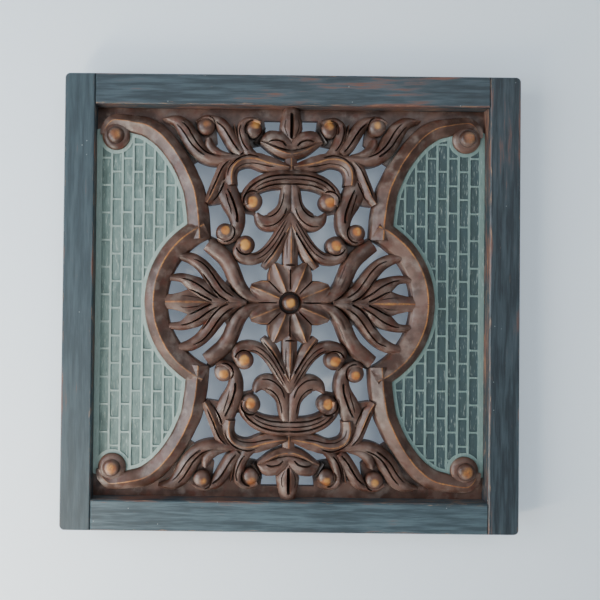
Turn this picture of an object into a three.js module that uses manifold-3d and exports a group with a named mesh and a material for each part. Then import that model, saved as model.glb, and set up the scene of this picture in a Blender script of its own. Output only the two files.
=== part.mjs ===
// Carved openwork wall panel in a plain square frame.
// Millimetres, +Z up, the front faces -Y and the back lies in the plane y = 0.
// The origin is at the back of the top rail, where the panel hangs on the wall.
import * as THREE from 'three';
import { mergeVertices } from 'three/addons/utils/BufferGeometryUtils.js';
import Module from 'manifold-3d';

const wasm = await Module();
wasm.setup();

// ---- sizes of the frame
const outerSide = 600;
const memberWidth = 40;
const frameThickness = 25;
const cornerRadius = 5;
const frontEdgeChamfer = 1.5;
const gap = 0.3;

// ---- sizes of the carved board
const boardHalf = outerSide / 2 - memberWidth - gap;
const groundHeight = 10;
const webHeight = 7;
const borderInner = 245;
const below = -3;

// ---- the moulding that bounds the side fields: a round arc and two ogee arms a side
const arcCentreX = 69.5;
const arcRadius = 109;
const mouldingHalfWidth = 15.5;
const mouldingCrest = 21.5;
const mouldingEdge = 14;
const mouldingFoot = 10.6;

// ---- upright brickwork of the side fields
const brickPitch = 14.3;
const firstJointX = 253.7;
const mortarWidth = 2.4;
const brickDepth = 1.6;
const plainMargin = 5;

// ---- flower in the middle
const petalCount = 8;
const petalTipRadius = 56.5;
const flowerWellRadius = 14.5;
const flowerWellFloor = 11;
const bossRadius = 11;
const bossHeight = 20;

// ---- balls that end the scrolls
const ballRadius = 13;
const ballHeight = 20;
const ballSides = 8;
const scrollX = 234;
const scrollZ = 220.5;
const scrollRadius = 18.5;

const hangDrop = outerSide / 2 - memberWidth / 2;

// One value from a short list of values spread evenly from the start to the end.
function along(values, t) {
  if (!Array.isArray(values)) return values;
  const place = t * (values.length - 1);
  const before = Math.min(Math.floor(place), values.length - 2);
  return THREE.MathUtils.lerp(values[before], values[before + 1], place - before);
}

// Closed triangle mesh from rings of points, one ring a station, capped at both ends.
function skin(rings) {
  const sides = rings[0].length;
  const positions = rings.flat().flatMap((p) => [p.x, p.y, p.z]);
  const index = [];
  for (let i = 0; i + 1 < rings.length; i += 1) {
    for (let j = 0; j < sides; j += 1) {
      const a = i * sides + j;
      const b = i * sides + (j + 1) % sides;
      index.push(a, b, b + sides, a, b + sides, a + sides);
    }
  }
  const last = (rings.length - 1) * sides;
  for (let j = 1; j + 1 < sides; j += 1) {
    index.push(0, j + 1, j, last, last + j, last + j + 1);
  }
  const geometry = new THREE.BufferGeometry();
  geometry.setAttribute('position', new THREE.Float32BufferAttribute(positions, 3));
  geometry.setIndex(index);
  return facingOut(geometry);
}

// Turns a closed mesh inside out when its volume comes out negative.
function facingOut(geometry) {
  const p = geometry.getAttribute('position');
  const index = geometry.getIndex().array;
  const a = new THREE.Vector3();
  const b = new THREE.Vector3();
  const c = new THREE.Vector3();
  let volume = 0;
  for (let i = 0; i < index.length; i += 3) {
    a.fromBufferAttribute(p, index[i]);
    b.fromBufferAttribute(p, index[i + 1]);
    c.fromBufferAttribute(p, index[i + 2]);
    volume += a.dot(b.cross(c));
  }
  if (volume < 0) index.reverse();
  return geometry;
}

// Section of a carved stroke: the distance across it against the height above the back.
function strokeSection(kind, w, edge, crest, lean, foot) {
  const gable = [[-w, below], [-w, edge], [lean * w, crest], [w, edge], [w, below]];
  const shouldered = [[-w, below], [-w, foot], [-0.88 * w, edge], [lean * w, crest],
    [0.88 * w, edge], [w, foot], [w, below]];
  return kind === 'gable' ? gable : shouldered;
}

// A carved stroke: its section is carried along a smooth line through a few named places.
function stroke({ path, widths, crest = 19, edge = 14.5, lean = 0, foot = 11,
  kind = 'gable', steps = 8 }) {
  const curve = smoothLine(path);
  const rings = [];
  for (let i = 0; i <= steps; i += 1) {
    const t = i / steps;
    const centre = curve.getPointAt(t);
    const ahead = curve.getTangentAt(t);
    const section = strokeSection(kind, along(widths, t), along(edge, t), along(crest, t),
      along(lean, t), along(foot, t));
    rings.push(section.map(([u, h]) => new THREE.Vector3(
      centre.x - ahead.y * u, -h, centre.y + ahead.x * u)));
  }
  return skin(rings);
}

// A stack of level rings around one centre, each [radius, height], closed to a flat top.
function turned(x, z, levels, sides) {
  const rings = levels.map(([radius, height]) => {
    const ring = [];
    for (let i = 0; i < sides; i += 1) {
      const angle = 2 * Math.PI * (i + 0.5) / sides;
      ring.push(new THREE.Vector3(x + radius * Math.cos(angle), -height,
        z + radius * Math.sin(angle)));
    }
    return ring;
  });
  return skin(rings);
}

// A rounded ball end of a scroll.
function ball(x, z, radius = ballRadius, height = ballHeight) {
  return turned(x, z, [[radius, below], [radius, height - 6], [0.62 * radius, height]],
    ballSides);
}

// A flat plate with the given outline, from under the back up to a height.
function plate(outline, height, bottom = below) {
  const ring = (h) => outline.map(([x, z]) => new THREE.Vector3(x, -h, z));
  const contour = outline.map(([x, z]) => new THREE.Vector2(x, z));
  const faces = THREE.ShapeUtils.triangulateShape(contour, []);
  const rings = [ring(bottom), ring(height)];
  const sides = outline.length;
  const positions = rings.flat().flatMap((p) => [p.x, p.y, p.z]);
  const clockwise = THREE.ShapeUtils.isClockWise(contour);
  const index = [];
  for (let j = 0; j < sides; j += 1) {
    const k = (j + 1) % sides;
    const wall = [j, k, k + sides, j, k + sides, j + sides];
    index.push(...(clockwise ? wall.reverse() : wall));
  }
  faces.forEach(([a, b, c]) => index.push(a, c, b, a + sides, b + sides, c + sides));
  const geometry = new THREE.BufferGeometry();
  geometry.setAttribute('position', new THREE.Float32BufferAttribute(positions, 3));
  geometry.setIndex(index);
  return facingOut(geometry);
}

// The same mesh mirrored in x or z by factors of 1 or -1.
function mirrored(geometry, sx, sz) {
  const copy = geometry.clone().scale(sx, 1, sz);
  return facingOut(copy);
}

function toSolid(geometry) {
  const vertProperties = new Float32Array(geometry.getAttribute('position').array);
  const triVerts = new Uint32Array(geometry.getIndex().array);
  return new wasm.Manifold(new wasm.Mesh({ numProp: 3, vertProperties, triVerts }));
}

function toGeometry(solid) {
  const mesh = solid.getMesh();
  const geometry = new THREE.BufferGeometry();
  geometry.setAttribute('position', new THREE.Float32BufferAttribute(mesh.vertProperties, 3));
  geometry.setIndex(Array.from(mesh.triVerts));
  return mergeVertices(geometry, 1e-4);
}

function joined(geometries) {
  return geometries.map(toSolid).reduce((whole, piece) => whole.add(piece));
}

// ---- the ornament right of and above the middle; the rest mirrors it
const armPath = [[249.5, 222], [247, 232.5], [237.5, 240.5], [223, 239.5], [208, 236.5],
  [194, 233.5], [181, 226.5], [168, 215], [155, 199], [143.5, 181], [135, 163], [129, 148],
  [124, 121], [122, 100], [121, 84]];

function smoothLine(path) {
  return new THREE.SplineCurve(path.map(([x, z]) => new THREE.Vector2(x, z)));
}

function arcPoint(degrees) {
  const angle = THREE.MathUtils.degToRad(degrees);
  return [arcCentreX + arcRadius * Math.cos(angle), arcRadius * Math.sin(angle)];
}

// Ogee arm with the scroll it curls around in the corner, and the round arc below it.
function mouldingPieces() {
  const shape = { crest: mouldingCrest, edge: mouldingEdge, foot: mouldingFoot,
    kind: 'shouldered' };
  return [
    stroke({ ...shape, path: armPath, steps: 9,
      widths: [5.5, 9, 12.5, 14, 13.5, 13.5, 14, 15, 15.5, 15.5],
      crest: [13, 20.5, mouldingCrest, mouldingCrest, mouldingCrest, mouldingCrest] }),
    stroke({ ...shape, path: [-12, 0, 14, 28, 42, 56, 66].map(arcPoint), steps: 6,
      widths: mouldingHalfWidth, lean: -0.2 }),
    turned(scrollX, scrollZ, [[scrollRadius, below], [scrollRadius, 13.5], [9, 22]], 10),
  ];
}

// Stem from the top of the arch out to the fork, the fork's two arms, and the arch itself.
function stemPieces() {
  return [
    stroke({ path: [[3, 180], [18, 182.5], [33, 185.5], [47, 190], [60, 190.5], [71, 186.5],
      [78, 178], [80, 167], [79, 156]], widths: [4, 8, 11, 11, 9.5, 9.5, 8.5, 8.5, 8.5],
    crest: 20, steps: 6 }),
    stroke({ path: [[76, 192], [86, 186], [91.5, 177.5], [95, 169], [98.5, 160],
      [102.5, 150], [106.5, 141], [112, 132]], widths: [4, 6.5, 7.5, 7.5, 7.5, 7.5, 7, 5],
    steps: 4 }),
    stroke({ path: [[89, 163], [85, 149], [80, 137], [75, 126], [71, 114], [70.5, 102],
      [74, 92], [81, 85], [90, 82], [97, 85]],
    widths: [9, 14.5, 14.5, 14, 12, 10.5, 9, 8, 6, 3], crest: [16, 19, 19, 19, 18], steps: 7 }),
    stroke({ path: [[-14, 164.5], [0, 165], [21, 164], [39, 159], [52, 150.5], [59.5, 141],
      [58, 130]], widths: [12, 12, 12.5, 11.5, 10.5, 8.5, 5], crest: 20, edge: 15,
    lean: 0.2, steps: 6 }),
    ball(50.5, 135),
    ball(87, 93, 12.5),
  ];
}

// Leaves and balls that fill the top between the arm and the lotus.
function crownPieces() {
  return [
    stroke({ path: [[64, 194], [84, 190.5], [102, 190.5], [116, 196], [127, 207], [135, 220],
      [143, 233], [154, 242], [172, 244]], widths: [4, 7, 7.5, 9.5, 12, 13, 12, 8, 2],
    crest: [18, 19, 18, 16], edge: [13, 14, 13, 12], steps: 6 }),
    stroke({ path: [[80, 196], [93, 197.5], [103, 202], [109, 209], [110.5, 218]],
      widths: [3, 5, 7, 7.5, 4.5], crest: [16, 19, 18], edge: 12.5, steps: 2 }),
    stroke({ path: [[66, 199], [75, 209], [82, 220], [88.5, 231], [96, 240], [106, 244.5],
      [117, 245], [127, 240]], widths: [8, 9.5, 9.5, 9.5, 8.5, 5.5, 4.5, 3], steps: 5 }),
    stroke({ path: [[44, 191.5], [53, 196.5], [60, 205], [64, 216], [66, 227], [65.5, 236],
      [59, 242], [50, 242.5], [41, 239]], widths: [6, 8, 8, 8, 7.5, 7, 5.5, 5, 5],
    crest: [18, 19, 18], steps: 6 }),
    ball(114, 235, 12),
    ball(50, 230.5, 11),
  ];
}

// Lotus at the top: two petals, the lip under them, the bud over them and a short stem.
function lotusPieces() {
  return [
    stroke({ path: [[-4, 205], [8, 212], [20, 218], [31, 219.5], [41, 214.5]],
      widths: [6, 11, 12.5, 10.5, 1.5], crest: [17, 19.5, 19.5, 15], edge: 13.5, steps: 5 }),
    stroke({ path: [[-8, 198.5], [0, 197.5], [8, 198.5], [19, 202.5], [31, 209], [41, 214]],
      widths: [6.5, 6.5, 6, 4.5, 1.5], crest: [20.5, 20.5, 19, 16], edge: 14, steps: 5 }),
    stroke({ path: [[0, 262], [0, 247], [0, 238], [0, 231], [0, 223], [0, 211.5]],
      widths: [9, 12.5, 14.5, 15.5, 10, 0.6], crest: [17, 20, 19, 17], edge: 13, steps: 4 }),
    stroke({ path: [[0, 172], [0, 200]], widths: 8, crest: 16, edge: 13, steps: 1 }),
  ];
}

// Hooked leaf under the arch, long scroll with its ball, spur leaf and the bud on the axis.
function heartPieces() {
  return [
    stroke({ path: [[3.5, 158], [5.5, 145], [7, 130], [14, 117], [27, 107], [39, 109.5],
      [46, 118.5]], widths: [7, 8.5, 10, 12, 13, 10, 3], crest: [18, 19.5, 19.5, 17],
    lean: [0.1, 0.3, 0.4], steps: 6 }),
    stroke({ path: [[-2, 117], [8, 100], [18, 84], [28, 71.5], [40, 61.5], [52, 58],
      [64, 60], [70, 68], [67, 77]], widths: [7, 9, 9, 8.5, 8, 8, 8, 7.5, 6], lean: -0.2,
    steps: 7 }),
    ball(60, 76.5),
    stroke({ path: [[1, 103], [10, 86], [17.5, 72], [25.5, 59], [35, 46.5]],
      widths: [5, 6.5, 7.5, 8.5, 4.5], crest: [19, 20.5, 20.5, 17], edge: 15, steps: 4 }),
    stroke({ path: [[0, 106], [0, 92], [0, 80], [0, 68], [0, 56], [0, 48], [0, 37]],
      widths: [1, 4.5, 8.5, 10, 10, 10, 0.6], crest: [19, 21, 21, 21], edge: 16, steps: 5 }),
  ];
}

// Leaves of the side palmette, each a little under the one nearer the flower.
function palmettePieces() {
  return [
    stroke({ path: [[40, 2], [56, 9], [67.5, 21], [74, 35], [80, 49], [90, 62.5], [110, 78]],
      widths: [4, 8.5, 10.5, 11, 11, 11, 9.5], crest: [17, 19.5, 19.5, 17], edge: 13.5,
      steps: 6 }),
    stroke({ path: [[58, 0], [78, 5], [91, 14], [100, 25.5], [108.5, 38.5], [119, 50],
      [132, 58], [147, 61]], widths: [4, 8.5, 12.5, 11.5, 10, 9, 8, 5],
    crest: [18, 19, 18, 16], edge: 13.5, steps: 6 }),
    stroke({ path: [[84, -1], [104, 6], [117, 16.5], [130, 25], [144, 32], [160, 32]],
      widths: [4, 9, 13.5, 11.5, 6.5, 4], crest: [18, 19, 18, 15.5], edge: 13.5,
      steps: 4 }),
    stroke({ path: [[104, 0], [120, 0], [132, 0], [141, 0], [148, 0], [156, 0], [166, 0]],
      widths: [1.5, 7, 14, 17, 13, 10.5, 9.5], crest: [17, 18.5, 17.5, 15], edge: 12.5,
      steps: 5 }),
  ];
}

// Petals of the flower that reach into this quarter.
function petalPieces() {
  const reach = [6, 20, 32, 41, 48.5, petalTipRadius];
  return [-1, 0, 1, 2].map((k) => {
    const angle = 2 * Math.PI * (k + 0.5) / petalCount;
    const path = reach.map((r) => [r * Math.cos(angle), r * Math.sin(angle)]);
    return stroke({ path, widths: [4, 8.5, 13.5, 17, 13, 4.5], crest: [17, 21, 21, 17],
      edge: [16, 17, 16, 13.5], steps: 4 });
  });
}

// Low ground left between the moulding, the leaves and the top border.
function webPieces() {
  return [
    plate([[130, 186], [112, 198], [98, 214], [100, 232], [84, 222], [76, 206], [74, 192],
      [60, 192], [58, 208], [39, 212], [34, 230], [38, boardHalf + 2], [200, boardHalf + 2],
      [196, 236], [182, 232]], webHeight),
    plate([[84, 170], [96, 166], [112, 136], [106, 130], [94, 132], [82, 146]], 12),
    plate([[36, -2], [104, -2], [84, 30], [72, 22]], 10),
    plate([[112, 92], [108, 78], [78, 62], [68, 54], [62, 54], [62, 78], [72, 96], [96, 84]],
      webHeight),
    plate([[48, 128], [44, 112], [50, 118], [72, 122], [72, 148], [52, 148]], webHeight),
    plate([[-2, borderInner], [214, borderInner], [214, 228], [boardHalf + 2, 228],
      [boardHalf + 2, boardHalf + 2], [-2, boardHalf + 2]], webHeight),
    plate([[-5, 100], [5, 100], [5, 126], [-5, 126]], 15),
  ];
}

// Ground of a side field down to the middle line, with its inner edge under the moulding.
function brickGround() {
  const far = boardHalf + 2;
  const outline = [[far, -2], [far, 229], [238, 236], [216, 238]];
  const arm = smoothLine(armPath);
  for (let i = 2; i <= 6; i += 1) {
    const p = arm.getPointAt(i / 6.5);
    outline.push([p.x, p.y]);
  }
  [60, 35, 12, -2].forEach((degrees) => outline.push(arcPoint(degrees)));
  return plate(outline, groundHeight);
}

// Long shallow pockets, one for each upright course, that leave the joints standing.
function courseCutters() {
  const arm = smoothLine(armPath);
  const clear = mouldingHalfWidth + plainMargin;
  const armEdge = [];
  for (let i = 25; i <= 98; i += 1) {
    const p = arm.getPointAt(i / 100);
    const ahead = arm.getTangentAt(i / 100);
    armEdge.push([p.x + ahead.y * -clear, p.y + ahead.x * clear]);
  }
  const cutters = [];
  for (let course = 0; course < 8; course += 1) {
    const right = firstJointX - course * brickPitch - mortarWidth / 2;
    const left = right - brickPitch + mortarWidth;
    const reach = (arcRadius + clear) ** 2 - (left - arcCentreX) ** 2;
    const bottom = reach > 0 ? Math.sqrt(reach) : -2;
    const under = armEdge.filter(([x]) => x > left - 1).map(([, z]) => z);
    const scrollFoot = scrollZ - scrollRadius - plainMargin;
    const top = right > scrollX - scrollRadius ? scrollFoot : Math.min(...under);
    if (top - bottom < 12) continue;
    const ring = (h) => [[left, bottom], [right, bottom], [right, top], [left, top]]
      .map(([x, z]) => new THREE.Vector3(x, -h, z));
    cutters.push(skin([ring(groundHeight - brickDepth), ring(groundHeight + 1)]));
  }
  return cutters;
}

// One quarter, cut square along the two axes so that its mirror images meet it exactly.
function quarterBoard() {
  let quarter = joined([...mouldingPieces(), ...stemPieces(), ...crownPieces(),
    ...lotusPieces(), ...heartPieces(), ...palmettePieces(), ...petalPieces(),
    ...webPieces(), brickGround()]);
  const well = turned(0, 0, [[flowerWellRadius, flowerWellFloor],
    [flowerWellRadius + 2, 26]], 8);
  const boss = turned(0, 0, [[bossRadius, 8], [bossRadius, 15], [0.5 * bossRadius, bossHeight]],
    8);
  quarter = quarter.subtract(toSolid(well)).add(toSolid(boss));
  quarter = quarter.subtract(joined(courseCutters()));
  const square = plate([[0, 0], [boardHalf, 0], [boardHalf, boardHalf], [0, boardHalf]],
    40, 0);
  return toGeometry(quarter.intersect(toSolid(square)));
}

function carvedBoard() {
  const quarter = quarterBoard();
  const rightHalf = toGeometry(joined([quarter, mirrored(quarter, 1, -1)]));
  return toGeometry(joined([rightHalf, mirrored(rightHalf, -1, 1)]));
}

// ---- frame: two stiles of the full height and two rails between them
function member(halfWide, halfHigh, roundOuter) {
  const shape = new THREE.Shape();
  const c = frontEdgeChamfer;
  const w = halfWide - c;
  const h = halfHigh - c;
  const r = roundOuter ? cornerRadius : 0;
  shape.moveTo(-w, -h + r);
  if (r) shape.absarc(-w + r, -h + r, r, Math.PI, 1.5 * Math.PI, false);
  shape.lineTo(w, -h);
  shape.lineTo(w, h);
  shape.lineTo(-w + r, h);
  if (r) shape.absarc(-w + r, h - r, r, 0.5 * Math.PI, Math.PI, false);
  shape.closePath();
  const raw = new THREE.ExtrudeGeometry(shape, { depth: frameThickness - 2 * c, steps: 1,
    bevelEnabled: true, bevelThickness: c, bevelSize: c, bevelSegments: 1,
    curveSegments: 3 });
  raw.deleteAttribute('normal');
  raw.deleteAttribute('uv');
  // drawn in x and y with the depth along z: stand it up with its front towards -Y
  raw.translate(0, 0, c).rotateX(Math.PI / 2);
  return mergeVertices(raw, 1e-4);
}

function named(name, geometry, colour, roughness) {
  geometry.translate(0, 0, -hangDrop);
  const material = new THREE.MeshStandardMaterial({ color: colour, roughness, metalness: 0 });
  const mesh = new THREE.Mesh(geometry, material);
  mesh.name = name;
  return mesh;
}

const group = new THREE.Group();
const paintColour = 0x465860;
const middleOfMember = outerSide / 2 - memberWidth / 2;
const railHalf = outerSide / 2 - memberWidth - gap;

const leftStile = member(memberWidth / 2, outerSide / 2, true)
  .translate(-middleOfMember, 0, 0);
const rightStile = mirrored(leftStile, -1, 1);
const topRail = member(railHalf, memberWidth / 2, false).translate(0, 0, middleOfMember);
const bottomRail = mirrored(topRail, 1, -1);

group.add(
  named('carved_panel', carvedBoard(), 0x6a5048, 0.6),
  named('stile_left', leftStile, paintColour, 0.65),
  named('stile_right', rightStile, paintColour, 0.65),
  named('rail_top', topRail, paintColour, 0.65),
  named('rail_bottom', bottomRail, paintColour, 0.65),
);

export default group;
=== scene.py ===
# Carved openwork wall panel: the fine carving, the painted finishes and a soft studio round the CAD frame.
# Metres, the CAD's own frame: +Z up, the front faces -Y, the wall is at y = 0.
import bmesh
import bpy
import math
from mathutils import Matrix, Vector, noise
from mathutils.bvhtree import BVHTree


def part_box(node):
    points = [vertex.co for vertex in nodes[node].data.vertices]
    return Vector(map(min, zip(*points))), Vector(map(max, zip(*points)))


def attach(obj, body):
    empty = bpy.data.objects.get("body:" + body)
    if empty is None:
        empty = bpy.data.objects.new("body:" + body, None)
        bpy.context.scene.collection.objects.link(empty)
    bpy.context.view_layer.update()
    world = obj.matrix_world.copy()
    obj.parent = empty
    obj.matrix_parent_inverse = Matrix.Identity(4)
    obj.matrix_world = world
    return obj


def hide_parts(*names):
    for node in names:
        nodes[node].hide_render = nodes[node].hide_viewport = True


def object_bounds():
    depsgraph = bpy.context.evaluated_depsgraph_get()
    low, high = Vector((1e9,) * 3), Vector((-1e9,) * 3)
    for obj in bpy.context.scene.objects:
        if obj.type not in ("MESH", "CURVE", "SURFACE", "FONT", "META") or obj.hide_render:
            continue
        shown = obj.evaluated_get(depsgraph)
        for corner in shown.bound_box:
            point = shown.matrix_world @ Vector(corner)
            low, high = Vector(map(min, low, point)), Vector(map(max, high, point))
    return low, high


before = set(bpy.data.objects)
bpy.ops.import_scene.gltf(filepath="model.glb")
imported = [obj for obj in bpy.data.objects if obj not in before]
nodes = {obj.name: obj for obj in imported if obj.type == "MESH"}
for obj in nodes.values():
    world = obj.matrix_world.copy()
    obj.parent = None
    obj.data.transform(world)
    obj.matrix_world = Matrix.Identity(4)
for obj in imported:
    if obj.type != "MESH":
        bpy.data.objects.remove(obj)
cadBounds = [list(corner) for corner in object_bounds()]
mm = 0.001

boardLow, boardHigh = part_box("carved_panel")
boardHalf = (boardHigh.x - boardLow.x) / 2 / mm
centreZ = (boardHigh.z + boardLow.z) / 2 / mm


def newBmesh():
    bm = bmesh.new()
    for name in ("wearAndPaintedShade", "gilt", "hollow"):
        bm.verts.layers.float.new(name)
    return bm


def along(values, t):
    # one value from a short list spread evenly from the start to the end
    if not isinstance(values, (list, tuple)):
        return values
    place = t * (len(values) - 1)
    before = min(int(place), len(values) - 2)
    return values[before] + (values[before + 1] - values[before]) * (place - before)


def smoothLine(path, perSpan=24):
    # a Catmull-Rom line through the places, sampled finely, with its length so far at each sample
    points = [Vector(p) for p in path]
    samples = []
    for i in range(len(points) - 1):
        a = points[max(i - 1, 0)]
        b, c = points[i], points[i + 1]
        d = points[min(i + 2, len(points) - 1)]
        for k in range(perSpan):
            t = k / perSpan
            v0, v1 = (c - a) * 0.5, (d - b) * 0.5
            cubic = 2 * b - 2 * c + v0 + v1
            square = -3 * b + 3 * c - 2 * v0 - v1
            samples.append(cubic * t ** 3 + square * t ** 2 + v0 * t + b)
    samples.append(points[-1])
    lengths = [0.0]
    for p, q in zip(samples, samples[1:]):
        lengths.append(lengths[-1] + (q - p).length)
    return samples, lengths


def placeOn(line, t):
    # the point a fraction t along the line, and the direction ahead there
    samples, lengths = line
    want = t * lengths[-1]
    i = 0
    while i < len(samples) - 2 and lengths[i + 1] < want:
        i += 1
    span = max(lengths[i + 1] - lengths[i], 1e-9)
    f = (want - lengths[i]) / span
    ahead = samples[min(i + 2, len(samples) - 1)] - samples[max(i - 1, 0)]
    return samples[i].lerp(samples[i + 1], f), ahead.normalized()


# sections of the carving from the crest outwards: (across, rise, mark); rise 0 at the edge height and 1
# at the crest, the mark above 0 rubbed bright, below 0 painted shade darkening a groove; the other side
# mirrors it
halfSections = {
    "gable": [(0, 1, 1), (0.08, 0.97, 0.7), (0.3, 0.78, 0.1), (0.6, 0.42, 0), (0.82, 0.14, 0.1),
              (0.93, 0.02, 0.7), (1, -0.3, 0.2)],
    "round": [(0, 1, 0.5), (0.2, 0.97, 0.3), (0.45, 0.83, 0.1), (0.68, 0.58, 0), (0.85, 0.28, 0.1),
              (0.94, 0.05, 0.6), (1, -0.3, 0.2)],
    "petal": [(0, 1, 1), (0.06, 0.95, 0.7), (0.2, 0.62, 0), (0.42, 0.28, -0.15), (0.62, 0.16, -0.1),
              (0.78, 0.24, 0.3), (0.87, 0.26, 0.9), (0.94, 0.08, 0.5), (1, -0.35, 0.2)],
    "moulding": [(0, 1, 1), (0.045, 0.985, 0.85), (0.12, 0.88, 0.1), (0.45, 0.5, 0), (0.84, 0.02, 0.1),
                 (0.9, -0.08, 0.55), (0.95, -0.35, 0), (1, -0.5, -0.3)],
}
sections = {name: [(-a, rise, wearAndPaintedShade) for a, rise, wearAndPaintedShade in reversed(half)] + half[1:]
            for name, half in halfSections.items()}

carving = {
    "stationSpacing": 2.6,   # mm between sections along a stroke
    "belowBack": -3.0,       # strokes start behind the back and are cut flat there
    "webHeight": 7.0,
    "groundHeight": 10.0,
    "ballRadius": 13.0,
    "ballHeight": 20.0,
    "ballDome": 8.0,
    "chiselWander": 0.22,    # mm the hand-cut surfaces wander
    "cellSize": 13.0,
    "firstCell": 0.53,       # share of a cell before the first parting, clear of the outlines
    "seamSnap": 0.004,       # mm from a middle plane within which a point is put on it
}


def sectionPoints(kind, w, edge, crest, lean):
    # one closed section as (across, height, mark), the mark wear above 0 and painted shade below 0, rounding
    # over where the stroke is thin
    fade = min(1.0, max(0.0, (w - 2.0) / 4.0))
    ring = [(-w, carving["belowBack"], 0.0)]
    for across, rise, wearAndPaintedShade in sections[kind]:
        a = across + lean * (1 - abs(across))
        r = rise * fade + (1 - abs(across)) * (1 - fade) if abs(across) < 0.95 else rise
        ring.append((a * w, edge + r * (crest - edge), wearAndPaintedShade * (0.4 + 0.6 * fade)))
    ring.append((w, carving["belowBack"], 0.0))
    return ring


def carriedRings(path, ringAt, spacing):
    # a closed ring of (across, height, worn) carried along a smooth line: a grid bent to it and capped
    line = smoothLine(path)
    stations = max(5, round(line[1][-1] / spacing))
    columns = len(ringAt(0.0))
    bm = newBmesh()
    wearAndPaintedShade = bm.verts.layers.float["wearAndPaintedShade"]
    bmesh.ops.create_grid(bm, x_segments=columns, y_segments=stations, size=0.5)
    rings = []
    for i in range(stations + 1):
        centre, ahead = placeOn(line, i / stations)
        ring = ringAt(i / stations)
        rings.append((centre, ahead, ring + [ring[0]]))
    for v in bm.verts:
        centre, ahead, ring = rings[round((v.co.y + 0.5) * stations)]
        across, height, wearAndShadeMark = ring[round((v.co.x + 0.5) * columns)]
        v.co = Vector((centre.x - ahead.y * across, -height, centre.y + ahead.x * across))
        v[wearAndPaintedShade] = wearAndShadeMark
    closeUp(bm)
    return bm


def strokePiece(path, widths, crest=19, edge=14.5, lean=0, kind="gable"):
    def ringAt(t):
        return sectionPoints(kind, along(widths, t), along(edge, t), along(crest, t), along(lean, t))
    return carriedRings(path, ringAt, carving["stationSpacing"])


vein = {
    "runOut": 20.5,          # mm, floor height at both ends
    "top": 26,               # mm, clear of every crest
    "widthAt": 18.5,         # mm, height at which the width is given
    "highestFloor": 17.0,    # mm, keeps the sides from lying flat
}


def groovePiece(path, wide=2.2, floor=13.0):
    # a V cut with a rounded floor, wide across near the surface, running out at both ends; its floor is
    # marked dark as painted shade
    def ringAt(t):
        run = math.sin(math.pi * min(1, max(0, t))) ** 0.5
        low = vein["runOut"] - (vein["runOut"] - floor) * run
        half = wide * (vein["top"] - low) / (2 * (vein["widthAt"] - min(low, vein["highestFloor"])))
        return [(-half, vein["top"], 0.6), (-half * 0.12, low + 0.5, -1), (0, low, -1),
                (half * 0.12, low + 0.5, -1),
                (half, vein["top"], 0.6)]
    return carriedRings(path, ringAt, 3.0)


def ringPath(x, z, radius, start, end):
    # places round a circle from one angle to another, in degrees
    angles = [math.radians(start + (end - start) * i / 6) for i in range(7)]
    return [(x + radius * math.cos(a), z + radius * math.sin(a)) for a in angles]


def closeUp(bm):
    bmesh.ops.remove_doubles(bm, verts=bm.verts, dist=1e-6)
    rim = [e for e in bm.edges if e.is_boundary]
    if rim:
        bmesh.ops.holes_fill(bm, edges=rim, sides=0)
    bmesh.ops.recalc_face_normals(bm, faces=bm.faces)


def turnedPiece(x, z, levels, segments=28):
    # a profile of (radius, height, mark) spun round an axis square to the wall; the mark is wear above 0 and
    # painted shade below 0
    bm = newBmesh()
    wearAndPaintedShade = bm.verts.layers.float["wearAndPaintedShade"]
    line = [bm.verts.new((radius, -height, 0)) for radius, height, wearAndShadeMark in levels]
    for v, level in zip(line, levels):
        v[wearAndPaintedShade] = level[2]
    for a, b in zip(line, line[1:]):
        bm.edges.new((a, b))
    bmesh.ops.spin(bm, geom=bm.verts[:] + bm.edges[:], cent=(0, 0, 0), axis=(0, 1, 0),
                   angle=2 * math.pi, steps=segments, use_merge=True)
    bmesh.ops.translate(bm, verts=bm.verts, vec=(x, 0, z))
    closeUp(bm)
    return bm


def ballPiece(x, z, radius=carving["ballRadius"]):
    # a round boss with a rubbed cap: upright side, full dome
    height, drop = carving["ballHeight"], carving["ballDome"]
    levels = [(radius, carving["belowBack"], 0), (radius, height - drop, 0)]
    for k in range(1, 9):
        angle = k / 8 * math.pi / 2
        levels.append((radius * math.cos(angle) if k < 8 else 0.0, height - drop + drop * math.sin(angle),
                       0.12 * max(0, k - 3)))
    return turnedPiece(x, z, levels, 28)


def cutInCells(bm):
    # large flats are parted into small cells, so that a cut never leaves a ring-shaped face
    step = carving["cellSize"]
    for axis in (0, 2):
        low = min(v.co[axis] for v in bm.verts)
        high = max(v.co[axis] for v in bm.verts)
        place = low + step * carving["firstCell"]
        while place < high:
            normal = Vector((1, 0, 0) if axis == 0 else (0, 0, 1))
            bmesh.ops.bisect_plane(bm, geom=bm.verts[:] + bm.edges[:] + bm.faces[:], plane_co=normal * place,
                                   plane_no=normal)
            place += step


def platePiece(outline, height):
    # a flat plate with the given outline, from behind the back up to a height
    bm = newBmesh()
    face = bm.faces.new([bm.verts.new((x, -carving["belowBack"], z)) for x, z in outline])
    grown = bmesh.ops.extrude_face_region(bm, geom=[face])
    risen = [g for g in grown["geom"] if isinstance(g, bmesh.types.BMVert)]
    bmesh.ops.translate(bm, verts=risen, vec=(0, carving["belowBack"] - height, 0))
    bmesh.ops.triangulate(bm, faces=bm.faces)
    cutInCells(bm)
    bmesh.ops.recalc_face_normals(bm, faces=bm.faces)
    return bm


def toObject(bm, name):
    mesh = bpy.data.meshes.new(name)
    bm.to_mesh(mesh)
    bm.free()
    return bpy.data.objects.new(name, mesh)


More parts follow.
